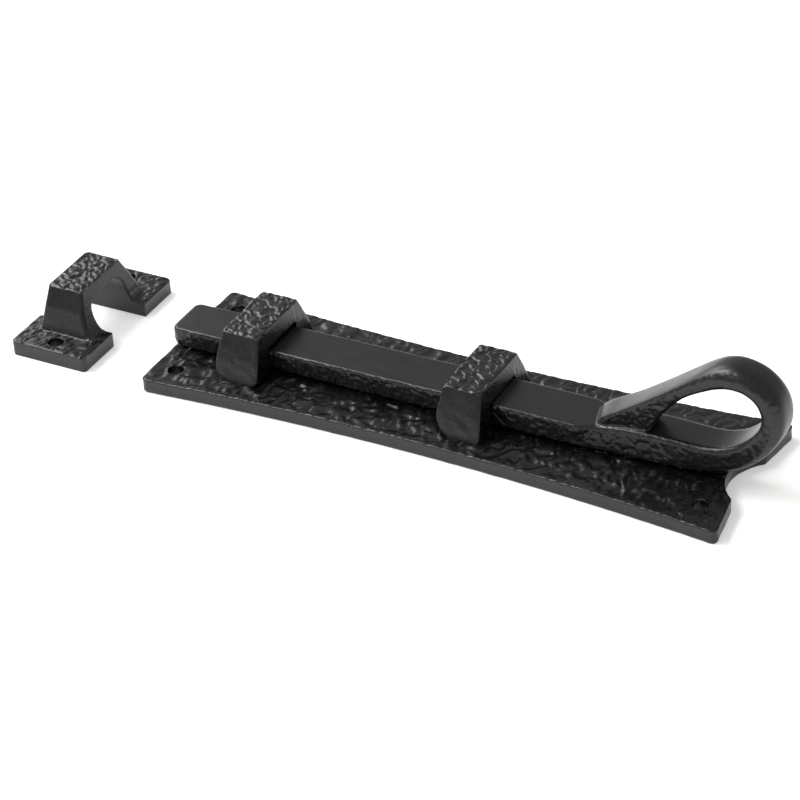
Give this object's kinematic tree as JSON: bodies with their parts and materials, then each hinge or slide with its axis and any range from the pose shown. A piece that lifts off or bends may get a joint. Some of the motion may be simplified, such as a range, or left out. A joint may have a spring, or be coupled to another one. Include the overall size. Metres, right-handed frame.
{
  "type": "slide bolt",
  "caption": "Surface slide bolt in black cast iron: a hammered backplate with guide staples, a sliding bar ending in a finger loop, and a separate keep.",
  "frame": {"origin": "middle of the backplate's four screw holes, on the face that lies on the door", "axes": "+X along the bolt towards the loop, +Z out of the door; the bolt is thrown along -X"},
  "size_m": [0.2611, 0.061, 0.0446],
  "materials": {
    "hammered_iron": "satin black coating over a hammered casting",
    "bar_iron": "satin black coating, smooth top and lightly pitted sides",
    "spring_steel": "blued spring strip",
    "pin_steel": "plain steel"
  },
  "bodies": {
    "plate": {"backplate": "hammered_iron", "front_staple": "hammered_iron", "rear_staple": "hammered_iron", "front_rivet_near": "pin_steel", "front_rivet_far": "pin_steel", "rear_rivet_near": "pin_steel", "rear_rivet_far": "pin_steel"},
    "bolt": {"bolt_bar": "bar_iron", "friction_spring": "spring_steel", "stop_pin": "pin_steel"},
    "keep": {"keep": "hammered_iron"}
  },
  "joints": [
    {"name": "bolt_slide", "type": "slide", "parent": "plate", "child": "bolt", "axis": [-1, 0, 0], "range_m": [0, 0.03]},
    {"name": "keep_lift", "type": "slide", "parent": "plate", "child": "keep", "axis": [0, 0, 1], "range_m": [0, 0.03]}
  ]
}
